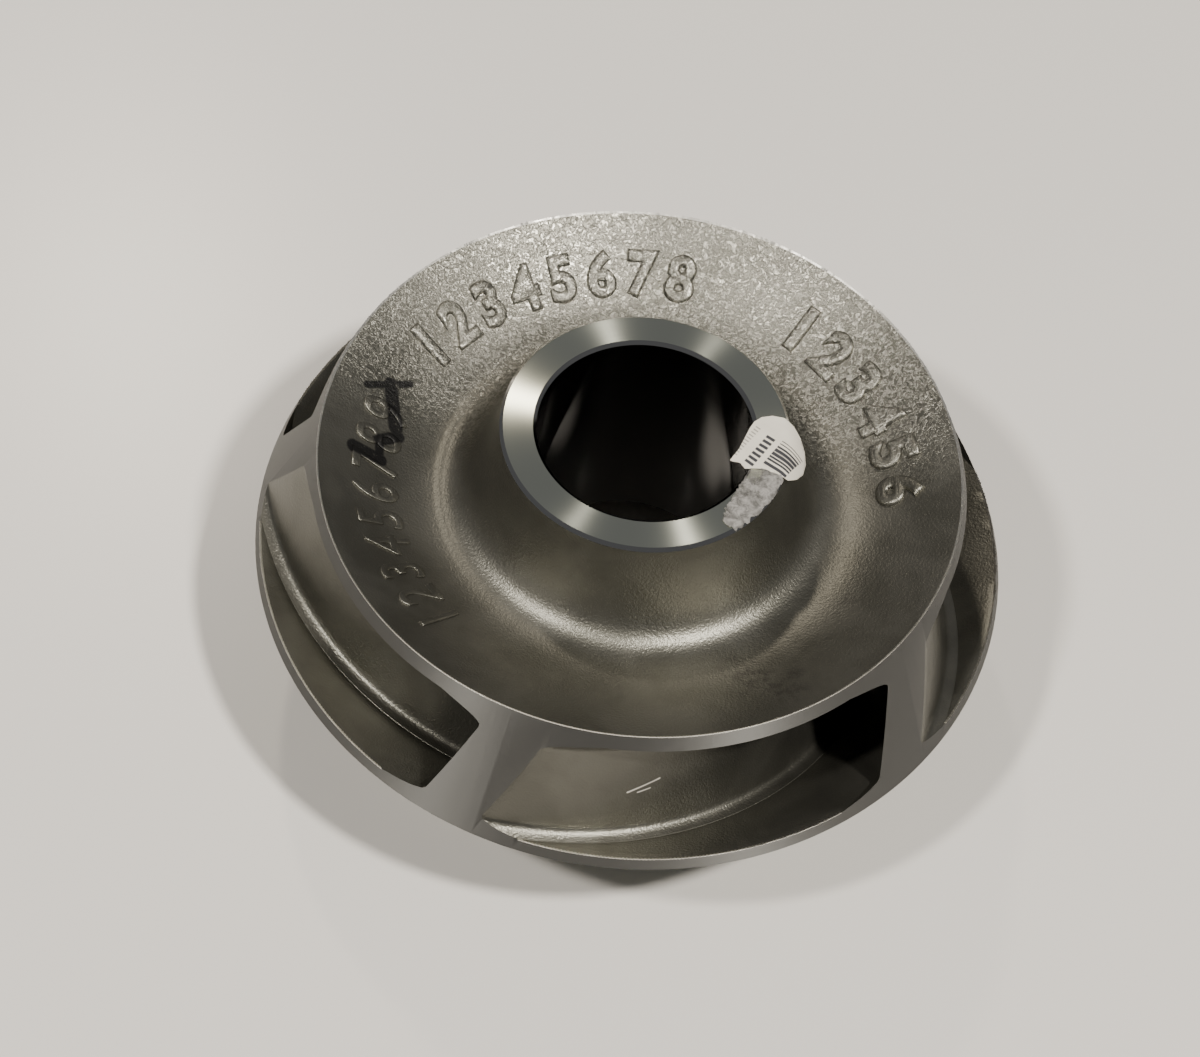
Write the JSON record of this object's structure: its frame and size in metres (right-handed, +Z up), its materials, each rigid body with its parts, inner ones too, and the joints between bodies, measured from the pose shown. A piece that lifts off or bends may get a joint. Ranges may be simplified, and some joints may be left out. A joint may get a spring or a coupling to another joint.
{
  "type": "pump impeller",
  "caption": "Closed mixed-flow pump impeller, a cast and turned stainless wheel with backward-curved vanes, a plain bore and a torn paper stock label.",
  "frame": {"origin": "centre of the eye ring's turned face, which the impeller stands on", "axes": "+Z up along the shaft axis, from the suction eye to the drive-side boss; -Y towards the pictured side"},
  "size_m": [0.114, 0.114, 0.0543],
  "materials": {
    "cast_stainless": "grainy as-cast stainless steel with a fine glitter, turned to a brighter satin on the outlet cone, the vane ends, the boss face, the bore and the eye ring",
    "label_paper": "white paper label, torn and scuffed, with its adhesive left on the metal"
  },
  "bodies": {
    "root": {"impeller_casting": "cast_stainless", "paper_label": "label_paper"}
  },
  "joints": []
}
